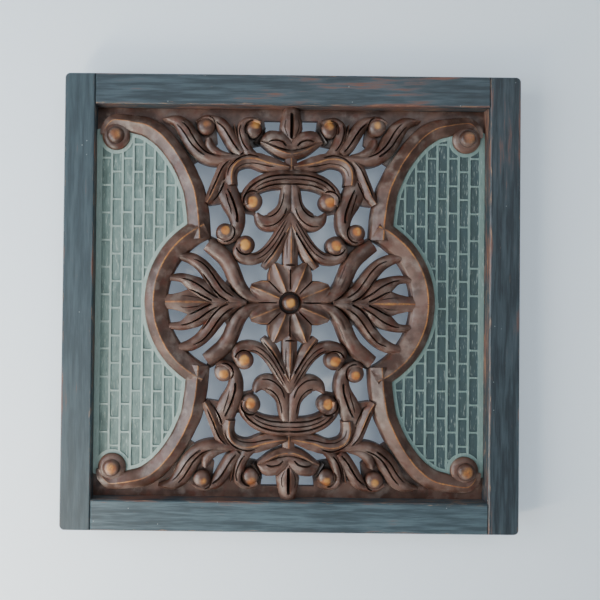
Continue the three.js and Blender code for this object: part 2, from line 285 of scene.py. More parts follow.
def combined(first, others, operation, name):
    # one exact solid from the first object and a list of others
    scene = bpy.context.scene
    group = bpy.data.collections.new(name + "Parts")
    scene.collection.children.link(group)
    scene.collection.objects.link(first)
    for other in others:
        group.objects.link(other)
    cut = first.modifiers.new("join", "BOOLEAN")
    cut.operation = operation
    cut.operand_type = "COLLECTION"
    cut.collection = group
    cut.solver = "MANIFOLD"
    bpy.context.view_layer.update()
    result = first.evaluated_get(bpy.context.evaluated_depsgraph_get())
    mesh = bpy.data.meshes.new_from_object(result)
    for other in [first] + others:
        bpy.data.meshes.remove(other.data)
    bpy.data.collections.remove(group)
    return bpy.data.objects.new(name, mesh)


# the ornament right of and above the middle, in mm about the panel's centre; the rest mirrors it
moulding = {
    "armPath": [(249.5, 222), (247, 232.5), (237.5, 240.5), (223, 239.5), (208, 236.5), (194, 233.5),
                (181, 226.5), (168, 215), (155, 199), (143.5, 181), (135, 163), (129, 148), (124, 121),
                (122, 100), (121, 84)],
    "armWidths": [5.5, 9, 12.5, 14, 13.5, 13.5, 14, 15, 15.5, 15.5],
    "arcCentre": 69.5,
    "arcRadius": 109.0,
    "halfWidth": 15.5,
    "crest": 21.5,
    "edge": 14.0,
    "scroll": (234, 220.5),
}


def arcPoint(degrees):
    angle = math.radians(degrees)
    return (moulding["arcCentre"] + moulding["arcRadius"] * math.cos(angle),
            moulding["arcRadius"] * math.sin(angle))


def mouldingPieces(extra=0.0):
    crest, edge = moulding["crest"], moulding["edge"]
    crests = [13 + extra, 20.5, crest, crest, crest, crest]
    x, z = moulding["scroll"]
    curl = [(18.5 + extra, carving["belowBack"], 0), (18.5 + extra, 12.3, 0.3), (17.8, 13.6, 0.6),
            (14.5, 15.4, 0),
            (12.2, 16.4, 0), (11.2, 16.2, -0.7), (10.6, 17.2, -0.2), (9.6, 19.6, 0.3), (7.6, 21.0, 0.6),
            (4.2, 21.8, 0.9), (0, 22, 1)]
    return [
        strokePiece(moulding["armPath"], [w + extra for w in moulding["armWidths"]], crests, edge,
                    kind="moulding"),
        strokePiece([arcPoint(d) for d in (-12, 0, 14, 28, 42, 56, 66)], moulding["halfWidth"] + extra,
                    crest, edge, lean=-0.2, kind="moulding"),
        turnedPiece(x, z, curl, 32),
    ]


def stemPieces():
    return [
        strokePiece([(3, 180), (18, 182.5), (33, 185.5), (47, 190), (60, 190.5), (71, 186.5), (78, 178),
                     (80, 167), (79, 156)], [4, 8, 11, 11, 9.5, 9.5, 8.5, 8.5, 8.5], 20),
        strokePiece([(76, 192), (86, 186), (91.5, 177.5), (95, 169), (98.5, 160), (102.5, 150), (106.5, 141),
                     (112, 132)], [4, 6.5, 7.5, 7.5, 7.5, 7.5, 7, 5], [18, 19.5, 19.5, 19], 14),
        strokePiece([(89, 163), (85, 149), (80, 137), (75, 126), (71, 114), (70.5, 102), (74, 92), (81, 85),
                     (90, 82), (97, 85)], [9, 14.5, 14.5, 14, 12, 10.5, 9, 8, 6, 3],
                    [15, 18, 19.5, 19.5, 19.5, 19, 18.5, 17], 13.5, kind="round"),
        strokePiece([(-14, 164.5), (0, 165), (21, 164), (39, 159), (52, 150.5), (59.5, 141), (58, 130)],
                    [12, 12, 12.5, 11.5, 10.5, 8.5, 5], crest=20.5, edge=14.5, lean=0.2, kind="round"),
        ballPiece(50.5, 135),
        ballPiece(87, 93, 12.5),
    ]


def crownPieces():
    return [
        strokePiece([(64, 194), (84, 190.5), (102, 190.5), (116, 196), (127, 207), (135, 220), (143, 233),
                     (154, 242), (172, 244)], [4, 7, 7.5, 9.5, 12, 13, 12, 8, 2], [18, 19.5, 19, 16.5],
                    [12, 13, 12, 11], kind="round"),
        strokePiece([(80, 196), (93, 197.5), (103, 202), (109, 209), (110.5, 218)], [3, 5, 7, 7.5, 4.5],
                    [16, 19, 18], 12, kind="round"),
        strokePiece([(66, 199), (75, 209), (82, 220), (88.5, 231), (96, 240), (106, 244.5), (117, 245),
                     (127, 240)], [8, 9.5, 9.5, 9.5, 8.5, 5.5, 4.5, 3], [18, 19.5, 19, 18], 13,
                     kind="round"),
        strokePiece([(44, 191.5), (53, 196.5), (60, 205), (64, 216), (66, 227), (65.5, 236), (59, 242),
                     (50, 242.5), (41, 239)], [6, 8, 8, 8, 7.5, 7, 5.5, 5, 5], [18, 19.5, 18], 13,
                     kind="round"),
        strokePiece([(47, 213), (41, 222), (35, 233)], [4, 4, 1], 16.5, 11),
        strokePiece([(71, 212), (74, 224), (76.5, 238)], [3, 3.5, 1], 17, 11),
        ballPiece(114, 235, 12),
        ballPiece(50, 230.5, 11),
    ]


def lotusPieces():
    return [
        strokePiece([(-4, 205), (8, 212), (20, 218), (31, 219.5), (41, 214.5)], [6, 11, 12.5, 10.5, 1.5],
                    [17, 20, 20, 15], 13, kind="round"),
        strokePiece([(-8, 198.5), (0, 197.5), (8, 198.5), (19, 202.5), (31, 209), (41, 214)],
                    [6.5, 6.5, 6, 4.5, 1.5], [20.5, 20.5, 19, 16], 14),
        strokePiece([(0, 262), (0, 247), (0, 238), (0, 231), (0, 223), (0, 211.5)],
                    [9, 12.5, 14.5, 15.5, 10, 0.6], [17, 20, 19.5, 17], 12.5, kind="round"),
        strokePiece([(0, 172), (0, 200)], 8, 16, 13),
    ]


def heartPieces():
    return [
        strokePiece([(3.5, 158), (5.5, 145), (7, 130), (14, 117), (27, 107), (39, 109.5), (46, 118.5)],
                    [7, 8.5, 10, 12, 13, 10, 3], [18, 19.5, 19.5, 17], 13.5, lean=[0, 0.1, 0.15],
                    kind="round"),
        strokePiece([(-2, 117), (8, 100), (18, 84), (28, 71.5), (40, 61.5), (52, 58), (64, 60), (70, 68),
                     (67, 77)], [7, 9, 9, 8.5, 8, 8, 8, 7.5, 6], lean=-0.15, kind="round"),
        ballPiece(60, 76.5),
        strokePiece([(1, 103), (10, 86), (17.5, 72), (25.5, 59), (35, 46.5)], [5, 6.5, 7.5, 8.5, 4.5],
                    [19, 20.5, 20.5, 17], 15),
        strokePiece([(0, 106), (0, 92), (0, 80), (0, 68), (0, 56), (0, 48), (0, 37)],
                    [1, 4.5, 8.5, 10, 10, 10, 0.6], [19, 21, 21, 21], 16),
    ]


def palmettePieces():
    return [
        strokePiece([(40, 2), (56, 9), (67.5, 21), (74, 35), (80, 49), (90, 62.5), (110, 78)],
                    [4, 8.5, 10.5, 11, 11, 11, 9.5], [17, 19.5, 19.5, 17], 12.5, kind="round"),
        strokePiece([(58, 0), (78, 5), (91, 14), (100, 25.5), (108.5, 38.5), (119, 50), (132, 58),
                     (147, 61)],
                    [4, 8.5, 12.5, 11.5, 10, 9, 8, 5], [18, 19.5, 18, 16], 12.5, kind="round"),
        strokePiece([(84, -1), (104, 6), (117, 16.5), (130, 25), (144, 32), (160, 32)],
                    [4, 9, 13.5, 11.5, 6.5, 4], [18, 19.5, 18, 15.5], 12.5, kind="round"),
        strokePiece([(104, 0), (120, 0), (132, 0), (141, 0), (148, 0), (156, 0), (166, 0)],
                    [1.5, 7, 14, 17, 13, 10.5, 9.5], [17, 19, 18, 15], 12.5),
    ]


def petalPieces():
    pieces = []
    for k in range(-1, 3):
        angle = 2 * math.pi * (k + 0.5) / 8
        path = [(r * math.cos(angle), r * math.sin(angle)) for r in (6, 20, 32, 41, 48.5, 56.5)]
        pieces.append(strokePiece(path, [4, 8.5, 13.5, 17, 13, 4.5], [17, 21.5, 21.5, 18],
                                  [15, 16, 15, 13.5],
                                  kind="petal"))
    return pieces


def veins():
    # the V cuts between and along the leaves: (places, width near the surface, height of the floor)
    cuts = [
        # stem, fork and arch
        ([(16, 179), (33, 181.5), (50, 185), (64, 183.5), (73, 176.5), (75.5, 167), (74.5, 157)], 1.6, 15),
        ([(40, 192), (55, 196), (68, 192.5), (78, 185), (84, 175), (85, 163)], 2.2, 13),
        ([(80, 190), (90, 181), (96, 170), (101, 158), (106, 147), (110, 138)], 2.2, 14),
        ([(88, 164), (90, 157), (94.5, 147), (99.5, 139), (107, 132)], 3.2, 9),
        ([(68, 154), (76, 152), (82, 154.5), (87, 160), (89, 166)], 2.6, 11),
        ([(86, 153), (80, 141), (75, 128), (71.5, 115), (71.5, 104)], 3.0, 12),
        ([(88, 149), (84.5, 136), (80.5, 123), (78.5, 110)], 1.4, 15.5),
        ([(-4, 169), (12, 169.5), (28, 167), (42, 161.5), (54, 153), (61, 143)], 1.8, 15.5),
        ([(-4, 157.5), (12, 157.5), (26, 156), (38, 152), (47, 147)], 2.2, 13),
        ([(-4, 163.5), (12, 163.5), (28, 161), (42, 155.5), (51, 148)], 1.0, 17.5),
        # crown
        ([(98, 194), (113, 199), (124, 208.5), (131.5, 220), (139, 232), (148, 241)], 2.4, 12),
        ([(114, 193.5), (126, 202), (135, 212), (142, 223), (151, 234), (162, 241)], 2.2, 13),
        ([(68, 199), (77, 210), (84, 221), (91, 231.5), (99, 238), (103, 240)], 2.4, 12),
        ([(56, 200), (63, 208), (67.5, 218), (69.5, 229), (67, 238)], 1.8, 14),
        ([(84, 199), (96, 201), (104, 205.5), (108, 213)], 1.4, 15.5),
        (ringPath(51, 230.5, 11.5, -50, 100), 2.0, 11),
        (ringPath(114, 235, 12.5, 95, 330), 2.0, 11),
        # lotus
        ([(6, 206), (12, 213), (22, 215.5), (32, 213.5), (37, 212)], 2.0, 14),
        ([(0, 254), (0, 243), (0, 236), (0, 226), (0, 216)], 5.0, 8),
        ([(7, 246), (9.5, 237), (8, 228), (3, 217)], 1.6, 15),
        ([(-6, 203.5), (2, 203), (12, 204.5), (24, 208.5), (36, 214)], 1.8, 13),
        # heart
        ([(9.5, 152), (11, 137), (16.5, 123), (27, 114.5), (39, 115.5)], 2.0, 14),
        ([(5, 128), (11, 113), (23, 103), (35, 101.5), (43, 107)], 2.0, 14.5),
        ([(4, 115), (14, 99), (23, 84.5), (32, 73.5), (42, 65.5), (52, 63), (61, 64)], 1.8, 14),
        ([(3, 112), (11, 96), (19.5, 81), (29, 68.5), (39, 60.5), (49, 56.5)], 1.2, 16),
        ([(6, 95), (15.5, 78.5), (23.5, 66), (31.5, 56), (38, 48)], 2.4, 12),
        (ringPath(60, 76.5, 13, 195, 350), 2.2, 11),
        (ringPath(87, 93, 12.5, 115, 290), 2.2, 11),
        (ringPath(50.5, 135, 13, -30, 130), 2.2, 12),
        ([(4.5, 96), (5.2, 82), (5.4, 68), (5.2, 54)], 1.2, 17),
        ([(-11, 51), (-4, 50), (4, 50), (11, 51)], 1.4, 16),
        # palmette
        ([(52, 9), (65, 20), (73.5, 36), (81, 51), (91, 64), (106, 76)], 2.4, 12),
        ([(50, 13), (61, 24), (68, 38), (74, 53), (84, 67)], 1.2, 16),
        ([(56, 2), (68, 9), (77, 19), (83, 31)], 3.0, 9),
        ([(72, 6), (87, 15), (97.5, 28), (106.5, 41), (118, 52.5), (133, 58)], 2.4, 12),
        ([(80, 1), (93, 8), (103, 18.5), (111, 30), (119, 40)], 3.0, 9),
        ([(92, 4), (108, 13), (122, 23), (136, 29.5), (150, 31.5)], 2.4, 12),
        ([(102, 1.5), (114, 7), (126, 13.5), (138, 18)], 3.0, 9),
        ([(112, 3.5), (126, 6.5), (140, 8), (156, 6)], 1.6, 14),
    ]
    for k in range(0, 3):
        angle = math.pi / 4 * k
        cuts.append(([(r * math.cos(angle), r * math.sin(angle)) for r in (15, 24, 32, 40, 46)], 2.4, 11))
    return [groovePiece(*cut) for cut in cuts]


def webPieces():
    edge = boardHalf + 2
    low = carving["webHeight"]
    return [
        platePiece([(130, 186), (112, 198), (98, 214), (100, 232), (84, 222), (76, 206), (74, 192),
                    (60, 192),
                    (58, 208), (39, 212), (34, 230), (38, edge), (200, edge), (196, 236), (182, 232)], low),
        platePiece([(84, 170), (96, 166), (112, 136), (106, 130), (94, 132), (82, 146)], 12),
        platePiece([(36, -2), (104, -2), (84, 30), (72, 22)], 10),
        platePiece([(112, 92), (108, 78), (78, 62), (68, 54), (62, 54), (62, 78), (72, 96), (96, 84)], low),
        platePiece([(48, 128), (44, 112), (50, 118), (72, 122), (72, 148), (52, 148)], low),
        platePiece([(-2, 245), (214, 245), (214, 228), (edge, 228), (edge, edge), (-2, edge)], low),
        platePiece([(-5, 100), (5, 100), (5, 126), (-5, 126)], 15),
    ]


def fieldGround():
    # ground of a side field, its inner edge hidden under the moulding
    far = boardHalf + 2
    line = smoothLine(moulding["armPath"])
    outline = [(far, -2), (far, 229), (238, 236), (216, 238)]
    outline += [tuple(placeOn(line, i / 13)[0]) for i in range(4, 13)]
    outline += [arcPoint(d) for d in (60, 45, 30, 15, 0, -2)]
    return platePiece(outline, carving["groundHeight"])


def quarterSolid():
    pieces = (mouldingPieces() + stemPieces() + crownPieces() + lotusPieces() + heartPieces()
              + palmettePieces()
              + petalPieces() + webPieces() + [fieldGround()])
    objects = [toObject(bm, f"quarter{i}") for i, bm in enumerate(pieces)]
    whole = combined(objects[0], objects[1:], "UNION", "quarterUnion")
    cuts = [toObject(bm, f"vein{i}") for i, bm in enumerate(veins())]
    whole = combined(whole, cuts, "DIFFERENCE", "quarterVeined")
    # the well round the boss, its floor marked dark as painted shade
    well = turnedPiece(0, 0, [(0, 10, -0.6), (13.2, 10, -1), (14.2, 11, -0.6), (15.4, 18, 0.8),
                              (17, 26, 0)], 32)
    whole = combined(whole, [toObject(well, "well")], "DIFFERENCE", "quarterWell")
    boss = turnedPiece(0, 0, [(11, 8, 0), (11, 14, 0), (10.3, 17, 0), (8.4, 19.4, 0.3), (5.4, 20.9, 0.7),
                              (2.4, 21.4, 1), (0, 21.5, 1)], 32)
    whole = combined(whole, [toObject(boss, "boss")], "UNION", "quarterBoss")
    block = newBmesh()
    bmesh.ops.create_cube(block, size=1.0)
    half = boardHalf
    bmesh.ops.scale(block, verts=block.verts, vec=(half, 40, half))
    bmesh.ops.translate(block, verts=block.verts, vec=(half / 2, -20, half / 2))
    cutInCells(block)
    return combined(whole, [toObject(block, "quarterBlock")], "INTERSECT", "quarter")


def mirroredWhole(bm):
    # the cut faces on the two middle planes go, then the quarter is mirrored down and to the left
    for axis in (2, 0):
        for v in bm.verts:
            if abs(v.co[axis]) < carving["seamSnap"]:
                v.co[axis] = 0.0
        seam = [f for f in bm.faces if all(v.co[axis] == 0.0 for v in f.verts)]
        bmesh.ops.delete(bm, geom=seam, context="FACES_ONLY")
        bmesh.ops.mirror(bm, geom=bm.verts[:] + bm.edges[:] + bm.faces[:], matrix=Matrix.Identity(4),
                         merge_dist=1e-4, axis="XYZ"[axis])
    bmesh.ops.recalc_face_normals(bm, faces=bm.faces)


def shadeHollows(quarterMesh, rays=28, reach=16.0):
    # how much each point of the quarter is shut in by its neighbours, 0 open to 1 deep; the carving's colour
    # is darkened by it as painted shade
    whole = bmesh.new()
    whole.from_mesh(quarterMesh)
    mirroredWhole(whole)
    bmesh.ops.triangulate(whole, faces=whole.faces)
    tree = BVHTree.FromBMesh(whole)
    whole.free()
    directions = []
    for i in range(rays):
        # points spread evenly over a dome by the golden angle, denser towards its top
        z = math.sqrt(1 - (i + 0.5) / rays)
        turn = i * math.pi * (3 - math.sqrt(5))
        flat = math.sqrt(1 - z * z)
        directions.append(Vector((flat * math.cos(turn), flat * math.sin(turn), z)))
    bm = bmesh.new()
    bm.from_mesh(quarterMesh)
    bm.normal_update()
    hollow = bm.verts.layers.float["hollow"]
    for v in bm.verts:
        if v.co.y > -0.5:
            continue
        turnTo = v.normal.to_track_quat("Z", "Y")
        start = v.co + v.normal * 0.15
        paintedShadeAmount = 0.0
        for d in directions:
            hit = tree.ray_cast(start, turnTo @ d, reach)
            if hit[0] is not None:
                paintedShadeAmount += 1 - 0.5 * hit[3] / reach
        v[hollow] = paintedShadeAmount / rays
    bm.to_mesh(quarterMesh)
    bm.free()


brickwork = {
    "pitch": 14.3,            # mm from one upright joint to the next
    "firstJoint": 253.7,
    "mortar": 2.3,
    "courses": 8,
    "brickLength": 36.6,
    "crossJoint": 1.9,
    "depth": 1.6,
    "margin": 4.6,            # plain strip left along the moulding
    "phases": {-1: (9.0, 27.0), 1: (12.0, 31.0)},
    "wander": 1.1,
    "zoneHeight": (8.0, 10.06),   # mm, faces between these heights take the field's paint
    "zoneFrom": 125,
    "zoneTo": 238,
}


def brickPockets():
    # one shallow tapered pocket a brick, laid as upright running bond in both side fields
    bm = newBmesh()
    line = smoothLine(moulding["armPath"])
    samples = [placeOn(line, i / 60)[0] for i in range(61)]
    radius, middle = moulding["arcRadius"], moulding["arcCentre"]
    depth, ground = brickwork["depth"], carving["groundHeight"]
    for side in (-1, 1):
        for course in range(brickwork["courses"]):
            right = brickwork["firstJoint"] - course * brickwork["pitch"] - brickwork["mortar"] / 2
            left = right - brickwork["pitch"] + brickwork["mortar"]
            top = 220.5 if course < 3 else min(p.y for p in samples if abs(p.x - left) < 3)
            low = radius ** 2 - (left - middle) ** 2 if left - middle < radius - 12 else 0
            spans = [(-top, top)] if low <= 0 else [(math.sqrt(low), top), (-top, -math.sqrt(low))]
            phase = brickwork["phases"][side][course % 2]
            for start, end in spans:
                for n in range(-8, 9):
                    sway = noise.noise(Vector((course * 3.1, n * 2.7, side * 5.3))) * brickwork["wander"]
                    nextSway = noise.noise(Vector((course * 3.1, n * 2.7 + 2.7,
                                                   side * 5.3))) * brickwork["wander"]
                    z0 = max(start, phase + n * brickwork["brickLength"] + brickwork["crossJoint"] / 2
                             + sway)
                    z1 = min(end, phase + (n + 1) * brickwork["brickLength"] - brickwork["crossJoint"] / 2
                             + nextSway)
                    if z1 - z0 < 4:
                        continue
                    wide, tall = right - left, z1 - z0
                    made = bmesh.ops.create_cube(bm, size=1.0)["verts"]
                    deep = depth * (0.85 + 0.3 * noise.noise(Vector((course * 1.7, n * 1.3, side * 9.1))))
                    for v in made:
                        inset = 0.35 if v.co.y > 0 else 0.0
                        v.co = Vector((side * (left + right) / 2 + v.co.x * (wide - 2 * inset),
                                       -ground + (deep if v.co.y > 0 else -1.5),
                                       (z0 + z1) / 2 + v.co.z * (tall - 2 * inset)))
                    upright = [e for e in {e for v in made for e in v.link_edges}
                               if abs(e.verts[0].co.y - e.verts[1].co.y) > 1]
                    bmesh.ops.bevel(bm, geom=upright, offset=1.3, offset_type="OFFSET", segments=2,
                                    profile=0.5,
                                    affect="EDGES", material=-1)
    bmesh.ops.recalc_face_normals(bm, faces=bm.faces)
    return bm


def carvedBoard():
    quarter = quarterSolid()
    print("quarter of the carving:", len(quarter.data.vertices), "points")
    shadeHollows(quarter.data)
    print("hollows shaded")
    bm = bmesh.new()
    bm.from_mesh(quarter.data)
    mirroredWhole(bm)
    board = toObject(bm, "board")
    keepClear = mouldingPieces(brickwork["margin"])
    clear = [toObject(piece, f"clear{i}") for i, piece in enumerate(keepClear)]
    clear = combined(clear[0], clear[1:], "UNION", "clearStrip")
    strips = []
    for sx in (1, -1):
        for sz in (1, -1):
            strip = bmesh.new()
            strip.from_mesh(clear.data)
            bmesh.ops.scale(strip, verts=strip.verts, vec=(sx, 1, sz))
            bmesh.ops.recalc_face_normals(strip, faces=strip.faces)
            strips.append(toObject(strip, f"strip{sx}{sz}"))
    pockets = combined(toObject(brickPockets(), "pockets"), strips, "DIFFERENCE", "clippedPockets")
    return combined(board, [pockets], "DIFFERENCE", "carvedBoard")


gilding = {
    # (x, z, reach, strength): where gold was rubbed thick, mm about the middle
    "spots": [(51.5, 133, 9, 0.9), (87, 95, 8, 0.9), (60, 76.5, 9, 0.9), (113, 236, 8, 0.5),
              (49, 236, 10, 0.6),
              (0, 0, 9, 0.7), (234, 220, 8, 0.35)],
}


def linear(hexColour):
    # sRGB hex to the linear colour the shaders work in
    parts = [int(hexColour[i:i + 2], 16) / 255 for i in (1, 3, 5)]
    return tuple(c / 12.92 if c <= 0.04045 else ((c + 0.055) / 1.055) ** 2.4 for c in parts) + (1.0,)


def addNode(tree, kind, settings=None, links=None):
    # one node with its settings, then its inputs linked or set by name or number
    node = tree.nodes.new(kind)
    for key, value in (settings or {}).items():
        setattr(node, key, value)
    for key, value in (links or {}).items():
        socket = node.inputs[key]
        if isinstance(value, bpy.types.NodeSocket):
            tree.links.new(value, socket)
        else:
            socket.default_value = value
    return node


def newMaterial(name):
    material = bpy.data.materials.new(name)
    material.use_nodes = True
    tree = material.node_tree
    tree.nodes.clear()
    shader = addNode(tree, "ShaderNodeBsdfPrincipled")
    addNode(tree, "ShaderNodeOutputMaterial", links={"Surface": shader.outputs["BSDF"]})
    return material, tree, shader


def mixColour(tree, amount, a, b):
    node = addNode(tree, "ShaderNodeMix", {"data_type": "RGBA"}, {0: amount, 6: a, 7: b})
    return node.outputs[2]


def remap(tree, value, low, high, toLow=0.0, toHigh=1.0):
    node = addNode(tree, "ShaderNodeMapRange", {"interpolation_type": "SMOOTHSTEP"},
                   {"Value": value, "From Min": low, "From Max": high, "To Min": toLow, "To Max": toHigh})
    return node.outputs["Result"]


def calc(tree, operation, a, b=0.0):
    node = addNode(tree, "ShaderNodeMath", {"operation": operation}, {0: a, 1: b})
    return node.outputs[0]


def grainNoise(tree, coordinates, size, detail=4.0, roughness=0.55, stretch=(1, 1, 1)):
    # noise whose blotches are about size metres across, pulled out by stretch
    place = addNode(tree, "ShaderNodeMapping", {"vector_type": "POINT"},
                    {"Vector": coordinates, "Scale": tuple(1 / s for s in stretch)})
    node = addNode(tree, "ShaderNodeTexNoise", {"noise_dimensions": "3D"},
                   {"Vector": place.outputs["Vector"], "Scale": 1 / size, "Detail": detail,
                    "Roughness": roughness})
    return node.outputs["Fac"]


carvingFinish = {
    "brown": "#5a4238", "umber": "#3a241a", "dusty": "#776a62", "redBrown": "#4c2316",
    "copper": "#a4602f", "gold": "#c08a48", "tan": "#a98c6c", "paintedShadeDark": "#120c09",
    "roughness": 0.42,
}


def rubbedCarving():
    # carved wood under brown stain, rubbed with gold wax: satin, bright on the ridges, with painted shade
    # darkening the cuts and the shut-in hollows
    f = carvingFinish
    material, tree, shader = newMaterial("stainedCarvedWoodGoldWaxPaintedShade")
    spot = addNode(tree, "ShaderNodeTexCoord").outputs["Object"]
    wearAndPaintedShade = addNode(tree, "ShaderNodeAttribute", {"attribute_name": "wearAndPaintedShade"}).outputs["Fac"]
    gilt = addNode(tree, "ShaderNodeAttribute", {"attribute_name": "gilt"}).outputs["Fac"]
    hollow = addNode(tree, "ShaderNodeAttribute", {"attribute_name": "hollow"}).outputs["Fac"]
    blotch = grainNoise(tree, spot, 0.030, 3)
    patch = grainNoise(tree, spot, 0.011, 4)
    fine = grainNoise(tree, spot, 0.0022, 3)
    colour = mixColour(tree, remap(tree, blotch, 0.38, 0.62), linear(f["umber"]), linear(f["brown"]))
    colour = mixColour(tree, remap(tree, patch, 0.5, 0.72, 0, 0.75), colour, linear(f["redBrown"]))
    colour = mixColour(tree, remap(tree, grainNoise(tree, spot, 0.018, 5), 0.48, 0.7, 0, 0.55), colour,
                       linear(f["dusty"]))
    wax = mixColour(tree, remap(tree, patch, 0.35, 0.65), linear(f["copper"]), linear(f["gold"]))
    rub = calc(tree, "MULTIPLY", remap(tree, wearAndPaintedShade, 0.45, 1.0), remap(tree, fine, 0.30, 0.62, 0.25, 1.0))
    rub = calc(tree, "MULTIPLY", rub, remap(tree, blotch, 0.36, 0.6, 0.35, 1.0))
    colour = mixColour(tree, calc(tree, "MULTIPLY", rub, 0.85), colour, wax)
    thick = remap(tree, calc(tree, "ADD", gilt, calc(tree, "MULTIPLY", patch, 0.5)), 0.45, 0.95, 0, 0.9)
    colour = mixColour(tree, thick, colour, wax)
    # painted shade: faces marked below 0, the groove floors, the well and the mouldings' feet, go dark
    cut = remap(tree, calc(tree, "MULTIPLY", wearAndPaintedShade, -1.0), 0.15, 0.9, 0, 0.85)
    # painted shade: the more shut in a point is, the nearer black it is painted
    paintedShadeAmount = remap(tree, hollow, 0.34, 0.80, 0, 0.92)
    colour = mixColour(tree, calc(tree, "MAXIMUM", cut, paintedShadeAmount), colour, linear(f["paintedShadeDark"]))
    tree.links.new(colour, shader.inputs["Base Color"])
    shader.inputs["IOR"].default_value = 1.5
    tree.links.new(remap(tree, fine, 0.3, 0.7, f["roughness"] - 0.08, f["roughness"] + 0.12),
                   shader.inputs["Roughness"])
    tree.links.new(calc(tree, "MULTIPLY", calc(tree, "MAXIMUM", rub, thick), 0.35),
                   shader.inputs["Metallic"])
    grain = grainNoise(tree, spot, 0.0014, 4, 0.6, (1, 1, 4))
    lumps = addNode(tree, "ShaderNodeBump", {}, {"Strength": 0.35, "Distance": 0.0006, "Height": patch})
    bump = addNode(tree, "ShaderNodeBump", {}, {"Strength": 0.25, "Distance": 0.0003, "Height": grain,
                                                "Normal": lumps.outputs["Normal"]})
    tree.links.new(bump.outputs["Normal"], shader.inputs["Normal"])
    return material


fieldFinish = {
    "mortarLeft": "#8b9d96", "mortarRightInPaintedShade": "#6e847f", "brickLeft": "#667b76", "brickRightInPaintedShade": "#354649",
    "smudge": "#33423f", "fleck": "#c9d4ca", "roughness": 0.62,
}


def sageField():
    # brick pattern under thin chalky sage paint: pale joints, darker floors, brushed up and down; darker
    # towards the right as painted shade
    f = fieldFinish
    material, tree, shader = newMaterial("chalkySagePaintWithPaintedShade")
    spot = addNode(tree, "ShaderNodeTexCoord").outputs["Object"]
    xyz = addNode(tree, "ShaderNodeSeparateXYZ", {}, {"Vector": spot}).outputs
    # painted shade: the right-hand field is painted darker than the left
    paintedShadeRightwards = remap(tree, xyz["X"], -0.15, 0.15)
    depth = remap(tree, xyz["Y"], -0.0098, -0.0088)
    mortar = mixColour(tree, paintedShadeRightwards, linear(f["mortarLeft"]), linear(f["mortarRightInPaintedShade"]))
    brick = mixColour(tree, paintedShadeRightwards, linear(f["brickLeft"]), linear(f["brickRightInPaintedShade"]))
    blotch = grainNoise(tree, spot, 0.012, 4, 0.6, (1, 1, 2.5))
    brick = mixColour(tree, remap(tree, blotch, 0.42, 0.68, 0, 0.5), brick, linear(f["smudge"]))
    colour = mixColour(tree, depth, mortar, brick)
    strokes = grainNoise(tree, spot, 0.0016, 3, 0.6, (1, 1, 7))
    colour = mixColour(tree, remap(tree, strokes, 0.56, 0.74, 0, 0.35), colour, linear(f["fleck"]))
    colour = mixColour(tree, remap(tree, strokes, 0.46, 0.28, 0, 0.3), colour, linear(f["smudge"]))
    tree.links.new(colour, shader.inputs["Base Color"])
    shader.inputs["IOR"].default_value = 1.48
    shader.inputs["Roughness"].default_value = f["roughness"]
    bump = addNode(tree, "ShaderNodeBump", {}, {"Strength": 0.3, "Distance": 0.0003, "Height": strokes})
    tree.links.new(bump.outputs["Normal"], shader.inputs["Normal"])
    return material


memberFinish = {
    # the tones per member are partly the paint and partly painted light: the bottom rail lightest, the right
    # stile darkest
    "stile_left": {"along": "Z", "paint": "#3b494f", "dark": "#2c383e", "wear": 0.25},
    "stile_right": {"along": "Z", "paint": "#39454b", "dark": "#232b31", "wear": 0.5},
    "rail_top": {"along": "X", "paint": "#414f56", "dark": "#2b353b", "wear": 0.6},
    "rail_bottom": {"along": "X", "paint": "#4a5b62", "dark": "#303c42", "wear": 0.5},
    "primer": "#6b4232", "bareWood": "#9c7b60", "fleck": "#aeb8b6", "roughness": 0.5,
}


